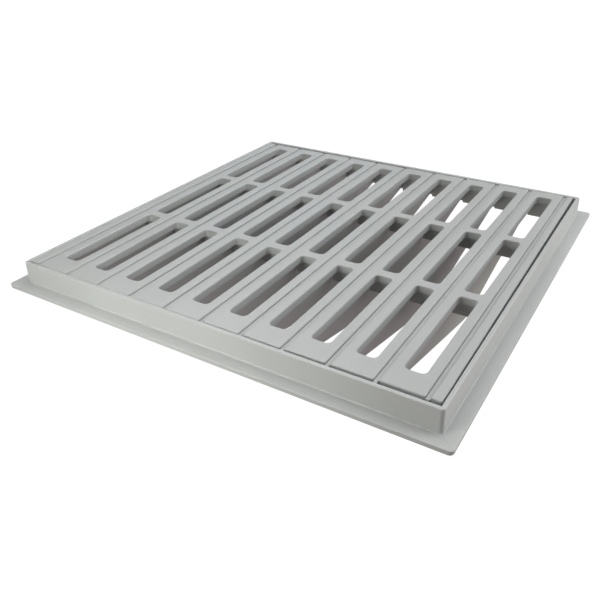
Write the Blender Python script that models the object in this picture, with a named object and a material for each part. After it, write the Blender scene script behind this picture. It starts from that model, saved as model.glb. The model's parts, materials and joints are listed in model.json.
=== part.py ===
"""Square drain grating in its frame: metres, +Z up, slats along Y, front towards -Y.

The frame is four mitred bars of one section: an upright wall, a flange outside it that lies on the rim of the
pit, and a ledge inside it that carries the grating. The grating is made of slotted slats laid side by side, with
a bearing bar on edge between each two. The inner bearing bars are fish-bellied: they hang deepest at mid span. A
plain bar and a narrow strip close the grating along each side. The grating lifts straight up out of the frame.

The origin is the middle of the frame, level with the underside of its flange, which is what rests on the rim.
"""

import math

import bmesh
import bpy
from mathutils import Matrix, Vector

GAP = 0.0003  # left between pieces that touch

# Frame
WALL_OUTER = 0.500  # side of the square that the outer faces of the walls make
WALL = 0.0046
FRAME_HEIGHT = 0.0300
FLANGE_REACH = 0.0145  # how far the flange stands out from the wall
LEDGE_REACH = 0.0138  # how far the ledge stands in from the wall
FLANGE_THICK = 0.0050
EDGE_EASE = 0.0006  # chamfer on the long edges of the frame's section
ROOT_FILLET = 0.0010  # chamfer where the wall rises from the flange
FLANGE_CORNER_RADIUS = 0.0045
FLANGE_CORNER_STEPS = 4
MITRE_SPARE = 0.0050  # length a side has beyond each corner before it is mitred

# Grating, across the slats
SLATS = 10
PITCH = 0.0464
BAR_THICK = 0.0040
STRIP_OUTER = {"left": -0.2449, "right": 0.2440}  # outer face of each edge strip
WEB_THICK = 0.0025  # upright web of an edge strip

# Grating, along the slats
SLAT_LENGTH = 0.4856  # side bars and strips are cut to it too
BEARING_LENGTH = 0.4878
FRONT_GAP = 0.0004  # from the front wall to the ends that lie closest to it
FLUSH_SLATS = 5  # these, counted from the left, end in one line
SLAT_STEP = 0.0008  # each of the others sits this much further back than the one on its left
BAR_LEAD = 0.0022  # the most a bearing bar's end stands out in front of the slats beside it
SIDE_BAR_LEAD = 0.0010
STRIP_SETBACK = {"left": 0.0010, "right": 0.0042}
SLOT_ROWS = 3
SLOT_LENGTH = 0.1385
SLOT_WIDTH = 0.0203
SLOT_BRIDGE = 0.0123  # what is left between two slots in a row
SLOT_SHIFT = 0.0042  # how far the row of slots lies behind the slat's middle
SLOT_RADIUS = 0.0050
SLOT_CORNER_STEPS = 4

# Grating, heights
SLAT_THICK = 0.0100
RIB_THICK = 0.0040
RIB_BOTTOM = 0.0045
LIP_THICK = 0.0030  # a rib near each end, which keeps the slat inside the ledge
LIP_OUTER = 0.2285  # from the slat's middle to a lip's outer face
LIP_BOTTOM = 0.0000
BAR_SINK = 0.0018  # how far a bar's top lies below the slats
BELLY_DEPTH = 0.0395  # how far the belly hangs below the frame
BELLY_FLAT = 0.0200  # level length at the middle of the belly
BELLY_REACH = 0.2280  # from a bar's middle to where its belly starts, just inside the ledge

# Helper solids end this much inside or beyond the faces that a Boolean must not find in one plane.
INSET = 0.0005

WALL_INNER = WALL_OUTER / 2 - WALL
SEAT = FLANGE_THICK + GAP
SLAT_WIDTH = PITCH - BAR_THICK - 2 * GAP
SLOT_PITCH = SLOT_LENGTH + SLOT_BRIDGE
FRONT_LINE = FRONT_GAP - WALL_INNER  # where the ends closest to the front wall lie

PVC_GREY = (0.487, 0.502, 0.493, 1)
PVC_GREY_LIGHT = (0.520, 0.535, 0.527, 1)


def clear_scene():
    for obj in list(bpy.data.objects):
        bpy.data.objects.remove(obj)


def collection(name):
    made = bpy.data.collections.new(name)
    bpy.context.scene.collection.children.link(made)
    return made


def plastic(name, colour, roughness):
    made = bpy.data.materials.new(name)
    made.use_nodes = True
    shader = made.node_tree.nodes["Principled BSDF"]
    shader.inputs["Base Color"].default_value = colour
    shader.inputs["Roughness"].default_value = roughness
    shader.inputs["Metallic"].default_value = 0
    return made


def extruded(name, loops, thick):
    """Mesh of a flat outline, in local X and Y, thick along local Z. Loops after the first are holes."""
    curve = bpy.data.curves.new(name, "CURVE")
    curve.dimensions = "2D"
    curve.fill_mode = "BOTH"
    curve.extrude = thick / 2
    for points in loops:
        spline = curve.splines.new("POLY")
        spline.points.add(len(points) - 1)
        for point, (x, y) in zip(spline.points, points):
            point.co = (x, y, 0, 1)
        spline.use_cyclic_u = True
    guide = bpy.data.objects.new(name, curve)
    bpy.context.scene.collection.objects.link(guide)
    graph = bpy.context.evaluated_depsgraph_get()
    mesh = bpy.data.meshes.new_from_object(guide.evaluated_get(graph))
    bpy.data.objects.remove(guide)
    edit = bmesh.new()
    edit.from_mesh(mesh)
    bmesh.ops.remove_doubles(edit, verts=edit.verts, dist=1e-6)
    bmesh.ops.recalc_face_normals(edit, faces=edit.faces)
    edit.to_mesh(mesh)
    edit.free()
    return mesh


def place(name, mesh, material, parts, location=(0, 0, 0), turn=0.0):
    obj = bpy.data.objects.new(name, mesh)
    if not mesh.materials:
        mesh.materials.append(material)
    obj.location = location
    obj.rotation_euler.z = turn
    parts.objects.link(obj)
    return obj


def trim(edit, point, normal):
    """Cuts away what lies on the normal's side of a plane, and closes the cut."""
    everything = edit.verts[:] + edit.edges[:] + edit.faces[:]
    bmesh.ops.bisect_plane(edit, geom=everything, plane_co=point, plane_no=normal, clear_outer=True)
    open_edges = [edge for edge in edit.edges if edge.is_boundary]
    if open_edges:
        bmesh.ops.holes_fill(edit, edges=open_edges)


def frame_section():
    """The bar's section: how far out from the wall's outer face, and how high."""
    outer = FLANGE_REACH
    inner = -WALL - LEDGE_REACH
    return [
        (inner, 0),
        (outer, 0),
        (outer, FLANGE_THICK - EDGE_EASE),
        (outer - EDGE_EASE, FLANGE_THICK),
        (ROOT_FILLET, FLANGE_THICK),
        (0, FLANGE_THICK + ROOT_FILLET),
        (0, FRAME_HEIGHT - EDGE_EASE),
        (-EDGE_EASE, FRAME_HEIGHT),
        (-WALL + EDGE_EASE, FRAME_HEIGHT),
        (-WALL, FRAME_HEIGHT - EDGE_EASE),
        (-WALL, FLANGE_THICK),
        (inner + EDGE_EASE, FLANGE_THICK),
        (inner, FLANGE_THICK - EDGE_EASE),
    ]


def frame_side_mesh():
    """The front bar, mitred at both ends, with the flange's outer corners rounded."""
    half = WALL_OUTER / 2
    length = 2 * (half + FLANGE_REACH + MITRE_SPARE)
    mesh = extruded("frame_side", [frame_section()], length)
    out, up = Vector((0, -1, 0)), Vector((0, 0, 1))
    stand_up = Matrix((out, up, out.cross(up))).transposed().to_4x4()
    mesh.transform(Matrix.Translation((0, -half, 0)) @ stand_up)
    edit = bmesh.new()
    edit.from_mesh(mesh)
    corner = half + FLANGE_REACH - FLANGE_CORNER_RADIUS
    for side in (-1, 1):
        mitre = Vector((side, 1, 0)).normalized()
        trim(edit, -mitre * GAP / 2, mitre)
        for step in range(FLANGE_CORNER_STEPS // 2):
            angle = math.radians(90) * (step + 0.5) / FLANGE_CORNER_STEPS
            normal = Vector((side * math.sin(angle), -math.cos(angle), 0))
            trim(edit, Vector((side * corner, -corner, 0)) + normal * FLANGE_CORNER_RADIUS, normal)
    bmesh.ops.recalc_face_normals(edit, faces=edit.faces)
    edit.to_mesh(mesh)
    edit.free()
    return mesh


def build_frame(parts, material):
    mesh = frame_side_mesh()
    for count, side in enumerate(("front", "right", "back", "left")):
        place("frame_" + side, mesh, material, parts, turn=math.radians(90 * count))


def rounded_slot(middle_y):
    """Outline of one slot, its corners as arcs."""
    points = []
    for quarter in range(4):
        sign_x = 1 if quarter in (0, 3) else -1
        sign_y = 1 if quarter in (0, 1) else -1
        centre_x = sign_x * (SLOT_WIDTH / 2 - SLOT_RADIUS)
        centre_y = middle_y + sign_y * (SLOT_LENGTH / 2 - SLOT_RADIUS)
        for step in range(SLOT_CORNER_STEPS + 1):
            angle = math.radians(90) * (quarter + step / SLOT_CORNER_STEPS)
            points.append(
                (centre_x + SLOT_RADIUS * math.cos(angle), centre_y + SLOT_RADIUS * math.sin(angle))
            )
    return points


def rectangle(low_x, low_y, high_x, high_y):
    return [(low_x, low_y), (high_x, low_y), (high_x, high_y), (low_x, high_y)]


def block(name, low, high, cutters):
    """A helper box, left out of the object, for a Boolean."""
    bpy.ops.mesh.primitive_cube_add(size=1)
    obj = bpy.context.object
    obj.name = name
    obj.data.transform(Matrix.Diagonal((*(Vector(high) - Vector(low)), 1)))
    obj.location = (Vector(low) + Vector(high)) / 2
    obj.hide_render = True
    obj.display_type = "WIRE"
    for owner in list(obj.users_collection):
        owner.objects.unlink(obj)
    cutters.objects.link(obj)
    return obj


def joined(mesh, helpers, parts):
    """The mesh with the helper solids joined to it, as a new mesh."""
    obj = bpy.data.objects.new("joining", mesh)
    parts.objects.link(obj)
    for helper in helpers:
        union = obj.modifiers.new(helper.name, "BOOLEAN")
        union.operation = "UNION"
        union.object = helper
    graph = bpy.context.evaluated_depsgraph_get()
    made = bpy.data.meshes.new_from_object(obj.evaluated_get(graph))
    bpy.data.objects.remove(obj)
    for helper in helpers:
        bpy.data.objects.remove(helper)
    return made


def slat_mesh(parts, cutters):
    """A slotted plate with a rib under each bridge between slots, and a lip and a foot under each end."""
    half_x, half_y = SLAT_WIDTH / 2, SLAT_LENGTH / 2
    rows = [SLOT_SHIFT + SLOT_PITCH * (row - (SLOT_ROWS - 1) / 2) for row in range(SLOT_ROWS)]
    loops = [rectangle(-half_x, -half_y, half_x, half_y)] + [rounded_slot(y) for y in rows]
    mesh = extruded("slat", loops, SLAT_THICK)
    mesh.transform(Matrix.Translation((0, 0, FRAME_HEIGHT - SLAT_THICK / 2)))
    webs = []
    for first, second in zip(rows, rows[1:]):
        y = (first + second - RIB_THICK) / 2
        webs.append(("rib", y, y + RIB_THICK, RIB_BOTTOM))
    for side in (-1, 1):
        near, far = sorted((side * LIP_OUTER, side * (LIP_OUTER - LIP_THICK)))
        webs.append(("lip", near, far, LIP_BOTTOM))
        near, far = sorted((side * (half_y - INSET), side * (half_y - INSET - RIB_THICK)))
        webs.append(("foot", near, far, SEAT))
    helpers = []
    for name, near, far, bottom in webs:
        low = (-half_x + INSET, near, bottom)
        high = (half_x - INSET, far, FRAME_HEIGHT - SLAT_THICK / 2)
        helpers.append(block(name, low, high, cutters))
    return joined(mesh, helpers, parts)


def slat_x(index):
    return PITCH * (index - (SLATS - 1) / 2)


def setback(index):
    """How far a slat lies behind the ones that end closest to the front wall."""
    return SLAT_STEP * max(0, index + 1 - FLUSH_SLATS)


def bar_setback(left, right, lead):
    """The same for the bar between two slats."""
    return max(0, (setback(left) + setback(right)) / 2 - lead)


def build_slats(parts, cutters, material):
    mesh = slat_mesh(parts, cutters)
    for index in range(SLATS):
        middle = (slat_x(index), FRONT_LINE + SLAT_LENGTH / 2 + setback(index), 0)
        place(f"slat_{index + 1:02d}", mesh, material, parts, middle)


def bar_mesh(name, outline):
    """A bar on edge: the outline is in Y and Z, and the thickness is along X."""
    mesh = extruded(name, [outline], BAR_THICK)
    forward, up = Vector((0, 1, 0)), Vector((0, 0, 1))
    mesh.transform(Matrix((forward, up, forward.cross(up))).transposed().to_4x4())
    return mesh


def belly_outline():
    end, top = BEARING_LENGTH / 2, FRAME_HEIGHT - BAR_SINK
    return [
        (end, top),
        (-end, top),
        (-end, SEAT),
        (-BELLY_REACH, SEAT),
        (-BELLY_FLAT / 2, -BELLY_DEPTH),
        (BELLY_FLAT / 2, -BELLY_DEPTH),
        (BELLY_REACH, SEAT),
        (end, SEAT),
    ]


def build_bars(parts, material):
    inner = bar_mesh("bearing_bar", belly_outline())
    end, last = SLAT_LENGTH / 2, SLATS - 1
    outer = bar_mesh("side_bar", rectangle(-end, SEAT, end, FRAME_HEIGHT - BAR_SINK))
    for index in range(last):
        y = FRONT_LINE + BEARING_LENGTH / 2 + bar_setback(index, index + 1, BAR_LEAD)
        middle = (slat_x(index) + PITCH / 2, y, 0)
        place(f"bearing_bar_{index + 1:02d}", inner, material, parts, middle)
    for name, index, side in (("side_bar_left", 0, -1), ("side_bar_right", last, 1)):
        y = FRONT_LINE + end + bar_setback(index, index, SIDE_BAR_LEAD)
        place(name, outer, material, parts, (slat_x(index) + side * PITCH / 2, y, 0))


def strip_mesh(side, cutters, parts):
    """A narrow plate with a web down its outer edge."""
    outer = STRIP_OUTER[side]
    sign = math.copysign(1, outer)
    inner = sign * (PITCH * SLATS / 2 + BAR_THICK / 2 + GAP)
    half = SLAT_LENGTH / 2
    low_x, high_x = sorted((inner, outer - sign * WEB_THICK / 2))
    plate = extruded("edge_strip", [rectangle(low_x, -half, high_x, half)], SLAT_THICK)
    plate.transform(Matrix.Translation((0, 0, FRAME_HEIGHT - SLAT_THICK / 2)))
    low_x, high_x = sorted((outer, outer - sign * WEB_THICK))
    low, high = (low_x, -half + INSET, SEAT), (high_x, half - INSET, FRAME_HEIGHT - BAR_SINK)
    return joined(plate, [block("web", low, high, cutters)], parts)


def build_strips(parts, cutters, material):
    for side in ("left", "right"):
        mesh = strip_mesh(side, cutters, parts)
        y = FRONT_LINE + SLAT_LENGTH / 2 + STRIP_SETBACK[side]
        place("edge_strip_" + side, mesh, material, parts, (0, y, 0))


def main():
    clear_scene()
    parts = collection("drain_grating")
    cutters = collection("cutters")
    frame_pvc = plastic("frame_pvc", PVC_GREY_LIGHT, 0.45)
    slat_pvc = plastic("slat_pvc", PVC_GREY, 0.45)
    bar_pvc = plastic("bar_pvc", PVC_GREY, 0.5)
    build_frame(parts, frame_pvc)
    build_slats(parts, cutters, slat_pvc)
    build_bars(parts, bar_pvc)
    build_strips(parts, cutters, slat_pvc)


main()
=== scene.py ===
import json
import math

import bmesh
import bpy
from mathutils import Matrix, Vector


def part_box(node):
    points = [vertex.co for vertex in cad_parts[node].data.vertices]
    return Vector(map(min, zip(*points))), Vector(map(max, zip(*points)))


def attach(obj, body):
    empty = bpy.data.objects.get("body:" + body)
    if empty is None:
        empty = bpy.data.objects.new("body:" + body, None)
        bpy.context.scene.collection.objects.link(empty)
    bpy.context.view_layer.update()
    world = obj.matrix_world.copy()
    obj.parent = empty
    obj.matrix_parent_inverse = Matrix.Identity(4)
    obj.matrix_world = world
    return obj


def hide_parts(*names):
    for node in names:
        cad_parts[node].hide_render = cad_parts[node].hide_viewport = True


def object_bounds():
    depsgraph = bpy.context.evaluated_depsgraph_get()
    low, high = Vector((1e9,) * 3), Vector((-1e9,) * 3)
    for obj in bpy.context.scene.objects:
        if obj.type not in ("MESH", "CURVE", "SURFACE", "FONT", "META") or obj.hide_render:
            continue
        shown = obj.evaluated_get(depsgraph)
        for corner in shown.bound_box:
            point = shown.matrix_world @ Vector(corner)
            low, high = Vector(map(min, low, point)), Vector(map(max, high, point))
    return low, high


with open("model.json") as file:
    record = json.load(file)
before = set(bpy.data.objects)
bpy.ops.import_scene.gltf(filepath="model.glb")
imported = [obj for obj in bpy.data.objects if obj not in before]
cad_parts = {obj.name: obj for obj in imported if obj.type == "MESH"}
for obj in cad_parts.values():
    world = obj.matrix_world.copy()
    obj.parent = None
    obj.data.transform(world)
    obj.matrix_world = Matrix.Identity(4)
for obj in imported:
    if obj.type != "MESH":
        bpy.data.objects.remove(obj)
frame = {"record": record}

# Looks of the drain grating: fine meshes in satin PVC stand for the plain CAD solids, each on the body
# and in the place of the solid it replaces. Metres, +Z up, slats along Y, front towards -Y.

cad_low, cad_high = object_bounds()

# Slots and plates
SLATS = 10
SLOT_WIDTH = 0.0203
SLOT_LENGTH = 0.1385
SLOT_RADIUS = 0.0050
SLOT_STEPS = 10  # steps in each of a slot's rounded corners
SLAT_THICK = 0.0100
SLAT_EASE = 0.0013  # radius along the plate's edges, round the slots too
SLAT_CORNER = 0.0014
WEB_INSET = 0.00156  # ribs, lips and feet keep this far in from the plate's edges, clear of their rounding
RIB_THICK = 0.0040
RIB_BOTTOM = 0.0045
RIB_EASE = 0.0006
LIP_THICK = 0.0030
LIP_OUTER = 0.2285  # from the slat's middle to a lip's outer face

# Bars and strips
BAR_EASE = 0.0005
BAR_CORNER = 0.0006
STRIP_EASE = 0.0012
STRIP_TAPER = {"left": 0, "right": 0.0022}  # how much narrower a strip is at its back end
BELLY_FLAT = 0.0200
BELLY_REACH = 0.2280  # from a bar's middle to where its belly starts
BELLY_BEND = 0.0800  # radius at the two bends of a belly's lower edge
BELLY_START = 0.0200  # radius where the belly's slope leaves the seat
WEB_THICK = 0.0025

# Frame
WALL_OUTER = 0.2500  # from the middle to the wall's outer face
WALL_THICK = 0.0046
LEDGE_REACH = 0.0138
FLANGE_THICK = 0.0050
FLANGE_CORNER = 0.0045
WALL_CORNER = 0.0040
INNER_CORNER = 0.0002
WALL_EDGE = 0.0009
BACK_EDGE = 0.0020  # radius along the inner top edge of the back wall
FLANGE_EDGE = 0.0006
ROOT_FILLET = 0.0015
FLANGE_STEP = 0.0003  # the lower half of the flange's edge lies this much further in
FLANGE_CREASE = 0.0001  # radius at the step in the flange's edge
MITRE_GAP = 0.00004
CORNER_STEPS = 6

# Mesh making
ARC_STEPS = 4
EDGE_STEPS = 2
WELD = 1e-6
CREASE_ANGLE = 35  # degrees: sharper edges are shaded as creases
FLAT_WEIGHT = 100

# Camera: yaw turns left from +Y, pitch is below the horizon
CAMERA_PLACE = (0.37558, -0.65814, 0.38419)
CAMERA_YAW = 31.44
CAMERA_PITCH = 27.545
CAMERA_ROLL = -0.734
CAMERA_LENS = 40.56
CAMERA_SHIFT = (-0.01388, -0.0726)  # the picture was cropped off its middle

# Studio. Lights: name, place, side of the square, watts, colour
LIGHTS = (
    ("top_light", (0, 0.1, 1.8), 1.6, 21.1, (1, 0.988, 0.972)),
    ("right_light", (1.38, 0.6, 0.8), 1.0, 12.8, (0.942, 0.948, 1)),
    ("low_right_light", (1.28, 0.55, 0.08), 0.4, 4.0, (0.905, 1, 0.833)),
    ("back_light", (0, 1.7, 1.0), 1.2, 2.7, (1, 0.918, 0.94)),
    ("back_left_light", (-1.0, 1.3, 1.0), 1.0, 5.4, (0.849, 0.923, 1)),
    ("near_front_light", (-0.08, -0.65, 0.35), 0.2, 0.89, (1, 0.966, 0.966)),
    ("low_front_light", (-0.10, -0.60, 0.12), 0.15, 0.93, (0.978, 1, 0.946)),
)
TABLE_LIGHT = 1.048  # strength of what comes up from below the horizon
TABLE_LEFT = (0.979, 1, 0.886, 1)
TABLE_RIGHT = (0.906, 0.785, 0.798, 1)
HORIZON = 0.02  # that light fades over this much to each side of the horizon
STAGE_REACH = 12  # side of the floor, and radius of the shell round it
STAGE_GLOW = 1.05
FLOOR_DROP = 0.0005

# PVC
SLAT_COLOUR = (0.487, 0.502, 0.493)
# the bars' grey is a little darker than the slats': painted shade for the bar tops, which sit sunk between
# the slats
BAR_COLOUR_WITH_PAINTED_SHADE = (0.462, 0.476, 0.468)
FRAME_COLOUR = (0.520, 0.535, 0.527)
NOISE_SPAN = (0.3, 0.7)  # nearly all of a noise's values lie within this
SPECULAR = 0.45
ROUGHNESS = (0.40, 0.52)
CLOUD_SCALE = 9.0
CLOUD_TONE = (0.965, 1.03)
GRAIN_SCALE = 1500.0
GRAIN_TONE = (0.95, 1.05)
LINE_SCALE = 12.0
LINE_STRETCH = 40.0  # die lines are this many times longer than wide
LINE_DETAIL = 3.0
LINE_TONE = (0.985, 1.015)
LINE_HEIGHT = 1.5  # of the die lines, against the grain's
TONE_TOP = 1.1  # the brightest tone that the mix has room for
BUMP_STRENGTH = 0.35
BUMP_DISTANCE = 0.00006


def filleted(corners, steps=ARC_STEPS):
    """Closed outline whose corners, each (x, y, radius), are rounded by arcs."""
    points = []
    for here, before, after in zip(corners, corners[-1:] + corners[:-1], corners[1:] + corners[:1]):
        corner, radius = Vector(here[:2]), here[2]
        back = (Vector(before[:2]) - corner).normalized()
        ahead = (Vector(after[:2]) - corner).normalized()
        half_angle = back.angle(ahead) / 2
        centre = corner + (back + ahead).normalized() * radius / math.sin(half_angle)
        reach = radius / math.tan(half_angle)
        start = (corner + back * reach - centre).normalized()
        end = (corner + ahead * reach - centre).normalized()
        points += [tuple(centre + radius * start.slerp(end, step / steps)) for step in range(steps + 1)]
    return points


def rectangle(low, high, radius, steps=ARC_STEPS):
    corners = [(low[0], low[1]), (high[0], low[1]), (high[0], high[1]), (low[0], high[1])]
    return filleted([(x, y, radius) for x, y in corners], steps)


def eased_plate(name, loops, thick, ease):
    """Mesh of a flat outline with rounded edges, thick along local Z. Loops after the first are holes."""
    curve = bpy.data.curves.new(name, "CURVE")
    curve.dimensions = "2D"
    curve.fill_mode = "BOTH"
    curve.extrude = thick / 2 - ease
    curve.bevel_depth = ease
    curve.bevel_resolution = EDGE_STEPS
    curve.offset = -ease
    for points in loops:
        spline = curve.splines.new("POLY")
        spline.points.add(len(points) - 1)
        for point, (x, y) in zip(spline.points, points):
            point.co = (x, y, 0, 1)
        spline.use_cyclic_u = True
    guide = bpy.data.objects.new(name, curve)
    bpy.context.scene.collection.objects.link(guide)
    mesh = bpy.data.meshes.new_from_object(guide.evaluated_get(bpy.context.evaluated_depsgraph_get()))
    bpy.data.objects.remove(guide)
    edit = bmesh.new()
    edit.from_mesh(mesh)
    bmesh.ops.remove_doubles(edit, verts=edit.verts, dist=WELD)
    bmesh.ops.recalc_face_normals(edit, faces=edit.faces)
    edit.to_mesh(mesh)
    edit.free()
    mesh.materials.clear()
    return mesh


def united(name, meshes):
    """One mesh from several closed ones that overlap."""
    objects = [bpy.data.objects.new(name, mesh) for mesh in meshes]
    for obj in objects:
        bpy.context.scene.collection.objects.link(obj)
    for other in objects[1:]:
        union = objects[0].modifiers.new("union", "BOOLEAN")
        union.operation = "UNION"
        union.object = other
    graph = bpy.context.evaluated_depsgraph_get()
    mesh = bpy.data.meshes.new_from_object(objects[0].evaluated_get(graph))
    for obj in objects:
        bpy.data.objects.remove(obj)
    return mesh


def turned(mesh, forward, up, place=(0, 0, 0)):
    """The mesh with its local X and Y turned to forward and up, then moved to place."""
    forward, up = Vector(forward), Vector(up)
    axes = Matrix((forward, up, forward.cross(up))).transposed().to_4x4()
    mesh.transform(Matrix.Translation(place) @ axes)
    return mesh


def piece(name, mesh, material, body, slot, *nodes):
    """A visible piece that rides on a body and stands for CAD nodes."""
    obj = bpy.data.objects.new(name, mesh)
    bpy.context.scene.collection.objects.link(obj)
    mesh.materials.append(material)
    mesh.shade_smooth()
    mesh.set_sharp_from_angle(angle=math.radians(CREASE_ANGLE))
    normals = obj.modifiers.new("flat faces stay flat", "WEIGHTED_NORMAL")
    normals.keep_sharp = True
    normals.weight = FLAT_WEIGHT
    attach(obj, body)
    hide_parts(*nodes)
    return obj


def upright_block(name, low, high, ease):
    """A box with rounded edges between two corners."""
    middle = (Vector(low) + Vector(high)) / 2
    half = (Vector(high) - Vector(low)) / 2
    mesh = eased_plate(name, [rectangle((-half.x, -half.y), (half.x, half.y), ease)], 2 * half.z, ease)
    mesh.transform(Matrix.Translation(middle))
    return mesh


def slot_middles(number):
    """Where the slots of a slat lie, as the record's openings have them."""
    boxes = [
        Vector(opening["box_m"][0]) + Vector(opening["box_m"][1])
        for opening in frame["record"]["physics"]["openings"]
        if opening["name"].startswith(f"slot_{number:02d}")
    ]
    return sorted((box / 2 for box in boxes), key=lambda middle: middle.y)


def make_slat(number, material):
    """A slotted plate with eased edges, a rib under each bridge, and a lip and a foot under each end."""
    node = f"slat_{number:02d}"
    low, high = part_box(node)
    slots = slot_middles(number)
    loops = [rectangle(low[:2], high[:2], SLAT_CORNER)]
    half = Vector((SLOT_WIDTH, SLOT_LENGTH)) / 2
    for middle in slots:
        loops.append(rectangle(middle.xy - half, middle.xy + half, SLOT_RADIUS, SLOT_STEPS))
    plate = eased_plate(node, loops, SLAT_THICK, SLAT_EASE)
    plate.transform(Matrix.Translation((0, 0, high.z - SLAT_THICK / 2)))
    middle, seat = (low.y + high.y) / 2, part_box("side_bar_left")[0].z
    webs = [
        (middle - LIP_OUTER, LIP_THICK, low.z),
        (middle + LIP_OUTER - LIP_THICK, LIP_THICK, low.z),
        (low.y + WEB_INSET, RIB_THICK, seat),
        (high.y - WEB_INSET - RIB_THICK, RIB_THICK, seat),
    ]
    for first, second in zip(slots, slots[1:]):
        webs.append(((first.y + second.y - RIB_THICK) / 2, RIB_THICK, RIB_BOTTOM))
    lumps = []
    for near, thick, bottom in webs:
        corner = (high.x - WEB_INSET, near + thick, high.z - SLAT_THICK / 2)
        lumps.append(upright_block(node, (low.x + WEB_INSET, near, bottom), corner, RIB_EASE))
    mesh = united(node, [plate] + lumps)
    return piece("grating_" + node, mesh, material, "grating", "slat_pvc", node)


def make_bar(node, material):
    """A bar on edge. An inner one has a belly, which starts clear of the ledge and is level at mid span."""
    low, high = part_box(node)
    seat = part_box("side_bar_left")[0].z
    middle = (low + high) / 2
    end = (high.y - low.y) / 2
    if low.z < seat:
        corners = [
            (end, high.z, BAR_CORNER),
            (end, seat, BAR_CORNER),
            (BELLY_REACH, seat, BELLY_START),
            (BELLY_FLAT / 2, low.z, BELLY_BEND),
            (-BELLY_FLAT / 2, low.z, BELLY_BEND),
            (-BELLY_REACH, seat, BELLY_START),
            (-end, seat, BAR_CORNER),
            (-end, high.z, BAR_CORNER),
        ]
        outline = filleted(corners)
    else:
        outline = rectangle((-end, low.z), (end, high.z), BAR_CORNER)
    mesh = eased_plate(node, [outline], high.x - low.x, BAR_EASE)
    turned(mesh, (0, 1, 0), (0, 0, 1), (middle.x, middle.y, 0))
    return piece("grating_" + node, mesh, material, "grating", "bar_pvc", node)


def make_strip(side, material):
    """A narrow plate with a web down its outer edge, which leans in towards the back by the strip's taper."""
    node = "edge_strip_" + side
    low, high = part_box(node)
    plate = eased_plate(node, [rectangle(low[:2], high[:2], SLAT_CORNER)], SLAT_THICK, STRIP_EASE)
    plate.transform(Matrix.Translation((0, 0, high.z - SLAT_THICK / 2)))
    near, far = (low.x, low.x + WEB_THICK) if side == "left" else (high.x - WEB_THICK, high.x)
    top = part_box("side_bar_" + side)[1].z
    web = upright_block(node, (near, low.y + STRIP_EASE, low.z), (far, high.y - STRIP_EASE, top), BAR_EASE)
    mesh = united(node, [plate, web])
    for vertex in mesh.vertices:
        outward = (vertex.co.x - low.x) / (high.x - low.x)
        backward = (vertex.co.y - low.y) / (high.y - low.y)
        vertex.co.x -= STRIP_TAPER[side] * outward * backward
    return piece("grating_" + node, mesh, material, "grating", "slat_pvc", node)


def frame_section(inner_edge):
    """The frame's section: how far out from the wall's outer face, and how high."""
    low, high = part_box("frame_front")
    reach = -low.y - WALL_OUTER
    inner = -WALL_THICK - LEDGE_REACH
    middle = FLANGE_THICK / 2
    return filleted(
        [
            (inner, low.z, FLANGE_EDGE),
            (reach - FLANGE_STEP, low.z, FLANGE_EDGE),
            (reach - FLANGE_STEP, middle, FLANGE_CREASE),
            (reach, middle + FLANGE_STEP, FLANGE_CREASE),
            (reach, FLANGE_THICK, FLANGE_EDGE),
            (0, FLANGE_THICK, ROOT_FILLET),
            (0, high.z, WALL_EDGE),
            (-WALL_THICK, high.z, inner_edge),
            (-WALL_THICK, FLANGE_THICK, ROOT_FILLET / 2),
            (inner, FLANGE_THICK, FLANGE_EDGE),
        ]
    )


def corner_radius(out):
    """The radius, in plan, that the frame's corner has at this distance out from the wall's outer face."""
    reach = -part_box("frame_front")[0].y - WALL_OUTER
    if out > 0:
        return WALL_CORNER + (FLANGE_CORNER - WALL_CORNER) * out / reach
    return max(WALL_CORNER + out, INNER_CORNER)


def frame_side_mesh(inner_edge):
    """The front bar: the section swept along the side and round half of each corner, to its mitre."""
    stations = [(-1, math.radians(45) * (1 - step / CORNER_STEPS)) for step in range(CORNER_STEPS + 1)]
    stations += [(1, math.radians(45) * step / CORNER_STEPS) for step in range(CORNER_STEPS + 1)]
    edit = bmesh.new()
    rows = []
    for out, up in frame_section(inner_edge):
        radius = corner_radius(out)
        middle = WALL_OUTER + out - radius
        row = []
        for sign, angle in stations:
            x = sign * (middle + radius * math.sin(angle) - MITRE_GAP / 2)
            row.append(edit.verts.new((x, -middle - radius * math.cos(angle), up)))
        rows.append(row)
    for row, following in zip(rows, rows[1:] + rows[:1]):
        for place in range(len(stations) - 1):
            edit.faces.new((row[place], row[place + 1], following[place + 1], following[place]))
    edit.faces.new([row[0] for row in rows])
    edit.faces.new([row[-1] for row in reversed(rows)])
    bmesh.ops.recalc_face_normals(edit, faces=edit.faces)
    mesh = bpy.data.meshes.new("frame_side")
    edit.to_mesh(mesh)
    edit.free()
    return mesh


def make_frame(materials):
    for count, side in enumerate(("front", "right", "back", "left")):
        mesh = frame_side_mesh(BACK_EDGE if side == "back" else WALL_EDGE)
        mesh.transform(Matrix.Rotation(math.radians(90 * count), 4, "Z"))
        node = "frame_" + side
        piece("rim_" + side, mesh, materials[count % 2], "frame", "frame_pvc", node)


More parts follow.
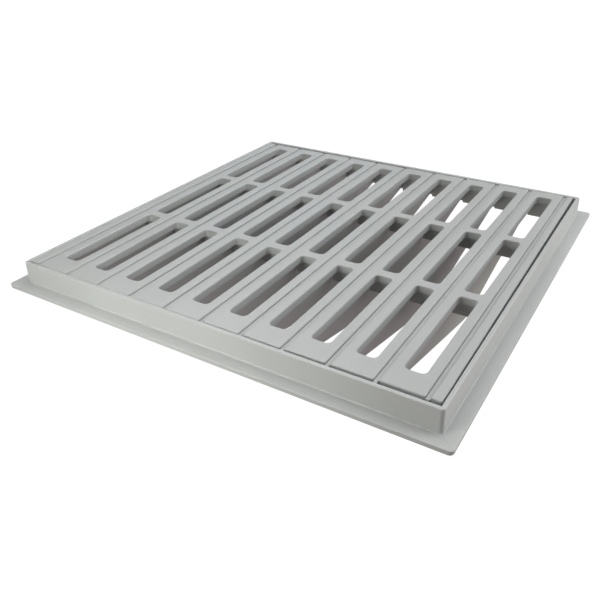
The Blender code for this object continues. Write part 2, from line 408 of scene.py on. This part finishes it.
def pvc(name, colour, along):
    """Satin rigid PVC with die lines along one axis, a fine grain and slow changes of tone."""
    material = bpy.data.materials.new(name)
    material.use_nodes = True
    nodes, links = material.node_tree.nodes, material.node_tree.links
    shader = nodes["Principled BSDF"]
    place = nodes.new("ShaderNodeTexCoord").outputs["Object"]

    def noise(scale, stretch, detail=2.0):
        mapping = nodes.new("ShaderNodeMapping")
        mapping.inputs["Scale"].default_value = stretch
        links.new(place, mapping.inputs["Vector"])
        made = nodes.new("ShaderNodeTexNoise")
        made.inputs["Scale"].default_value = scale
        made.inputs["Detail"].default_value = detail
        links.new(mapping.outputs["Vector"], made.inputs["Vector"])
        return made.outputs["Fac"]

    def ranged(value, low, high):
        made = nodes.new("ShaderNodeMapRange")
        made.inputs["From Min"].default_value = NOISE_SPAN[0]
        made.inputs["From Max"].default_value = NOISE_SPAN[1]
        made.inputs["To Min"].default_value = low
        made.inputs["To Max"].default_value = high
        links.new(value, made.inputs["Value"])
        return made.outputs["Result"]

    def maths(operation, first, second):
        made = nodes.new("ShaderNodeMath")
        made.operation = operation
        for socket, value in zip(made.inputs, (first, second)):
            if isinstance(value, float):
                socket.default_value = value
            else:
                links.new(value, socket)
        return made.outputs["Value"]

    stretch = [1.0 if axis == along else LINE_STRETCH for axis in "XYZ"]
    clouds = noise(CLOUD_SCALE, (1.0, 1.0, 1.0))
    grain = noise(GRAIN_SCALE, (1.0, 1.0, 1.0))
    lines = noise(LINE_SCALE, stretch, LINE_DETAIL)
    tone = maths("MULTIPLY", ranged(clouds, *CLOUD_TONE), ranged(lines, *LINE_TONE))
    tone = maths("MULTIPLY", tone, ranged(grain, *GRAIN_TONE))
    mix = nodes.new("ShaderNodeMix")
    mix.data_type = "RGBA"
    mix.inputs["A"].default_value = (0, 0, 0, 1)
    mix.inputs["B"].default_value = (*(c * TONE_TOP for c in colour), 1)
    links.new(maths("DIVIDE", tone, TONE_TOP), mix.inputs["Factor"])
    links.new(mix.outputs["Result"], shader.inputs["Base Color"])
    links.new(ranged(clouds, *ROUGHNESS), shader.inputs["Roughness"])
    shader.inputs["Specular IOR Level"].default_value = SPECULAR
    bump = nodes.new("ShaderNodeBump")
    bump.inputs["Strength"].default_value = BUMP_STRENGTH
    bump.inputs["Distance"].default_value = BUMP_DISTANCE
    height = maths("ADD", grain, maths("MULTIPLY", lines, LINE_HEIGHT))
    links.new(height, bump.inputs["Height"])
    links.new(bump.outputs["Normal"], shader.inputs["Normal"])
    return material


def shown_only(obj, material, *hidden_from):
    """Gives a stage piece its material and lets the kinds of ray named pass through it; the camera still sees
    it.
    """
    obj.data.materials.append(material)
    for ray in hidden_from:
        setattr(obj, "visible_" + ray, False)


def make_stage():
    """A plain white floor, just below the lowest point, and a white shell round it.

    Neither lights the object.
    """
    material = bpy.data.materials.new("white")
    material.use_nodes = True
    shader = material.node_tree.nodes["Principled BSDF"]
    shader.inputs["Base Color"].default_value = (0, 0, 0, 1)
    shader.inputs["Specular IOR Level"].default_value = 0
    shader.inputs["Emission Color"].default_value = (1, 1, 1, 1)
    shader.inputs["Emission Strength"].default_value = STAGE_GLOW
    bpy.ops.mesh.primitive_plane_add(size=STAGE_REACH, location=(0, 0, cad_low.z - FLOOR_DROP))
    bpy.context.object.name = "floor"
    shown_only(bpy.context.object, material, "diffuse", "glossy")
    bpy.ops.mesh.primitive_uv_sphere_add(radius=STAGE_REACH, segments=48, ring_count=24)
    bpy.context.object.name = "backdrop"
    shown_only(bpy.context.object, material, "diffuse", "glossy", "transmission", "shadow")


def area_light(name, place, size, power, colour):
    """A square soft light aimed at the middle of the object."""
    data = bpy.data.lights.new(name, "AREA")
    data.shape = "SQUARE"
    data.size = size
    data.energy = power
    data.color = colour
    light = bpy.data.objects.new(name, data)
    light.location = place
    light.rotation_euler = (-Vector(place)).to_track_quat("-Z", "Y").to_euler()
    bpy.context.scene.collection.objects.link(light)


def make_lights():
    for light in LIGHTS:
        area_light(*light)


def make_world():
    """Light from below the horizon only, stronger from the left, as a table top would throw it back."""
    world = bpy.data.worlds.new("studio")
    world.use_nodes = True
    nodes, links = world.node_tree.nodes, world.node_tree.links
    background = nodes["Background"]
    direction = nodes.new("ShaderNodeSeparateXYZ")
    links.new(nodes.new("ShaderNodeTexCoord").outputs["Generated"], direction.inputs["Vector"])
    across = nodes.new("ShaderNodeMapRange")
    across.inputs["From Min"].default_value = -1
    across.inputs["From Max"].default_value = 1
    links.new(direction.outputs["X"], across.inputs["Value"])
    ramp = nodes.new("ShaderNodeValToRGB")
    left, right = ramp.color_ramp.elements
    left.color = TABLE_LEFT
    right.color = TABLE_RIGHT
    ramp.color_ramp.elements.new(0.5).color = (0, 0, 0, 1)
    links.new(across.outputs["Result"], ramp.inputs["Fac"])
    links.new(ramp.outputs["Color"], background.inputs["Color"])
    below = nodes.new("ShaderNodeMapRange")
    below.inputs["From Min"].default_value = -HORIZON
    below.inputs["From Max"].default_value = HORIZON
    below.inputs["To Min"].default_value = TABLE_LIGHT
    below.inputs["To Max"].default_value = 0
    links.new(direction.outputs["Z"], below.inputs["Value"])
    links.new(below.outputs["Result"], background.inputs["Strength"])
    bpy.context.scene.world = world


def make_camera():
    yaw, pitch, roll = (math.radians(a) for a in (CAMERA_YAW, CAMERA_PITCH, CAMERA_ROLL))
    forward = Vector(
        (-math.sin(yaw) * math.cos(pitch), math.cos(yaw) * math.cos(pitch), -math.sin(pitch))
    )
    right = Vector((math.cos(yaw), math.sin(yaw), 0))
    up = right.cross(forward)
    turned_right = math.cos(roll) * right + math.sin(roll) * up
    turned_up = math.cos(roll) * up - math.sin(roll) * right
    data = bpy.data.cameras.new("camera")
    data.sensor_width = 36
    data.lens = CAMERA_LENS
    data.shift_x, data.shift_y = CAMERA_SHIFT
    data.clip_start = 0.01
    data.clip_end = 50
    camera = bpy.data.objects.new("camera", data)
    axes = Matrix((turned_right, turned_up, -forward)).transposed().to_4x4()
    camera.matrix_world = Matrix.Translation(CAMERA_PLACE) @ axes
    bpy.context.scene.collection.objects.link(camera)
    bpy.context.scene.camera = camera


make_camera()
make_lights()
make_world()
make_stage()
bpy.context.scene.view_settings.view_transform = "Standard"

slat_pvc = pvc("slat_pvc", SLAT_COLOUR, "Y")
# the bars' material takes that darker grey, with its painted shade of the sunk bar tops
bar_pvc = pvc("bar_pvc", BAR_COLOUR_WITH_PAINTED_SHADE, "Y")
frame_pvc_x = pvc("frame_pvc_x", FRAME_COLOUR, "X")
frame_pvc_y = pvc("frame_pvc_y", FRAME_COLOUR, "Y")

make_frame((frame_pvc_x, frame_pvc_y))
for number in range(1, SLATS + 1):
    make_slat(number, slat_pvc)
for number in range(1, SLATS):
    make_bar(f"bearing_bar_{number:02d}", bar_pvc)
for side in ("left", "right"):
    make_bar("side_bar_" + side, bar_pvc)
    make_strip(side, slat_pvc)
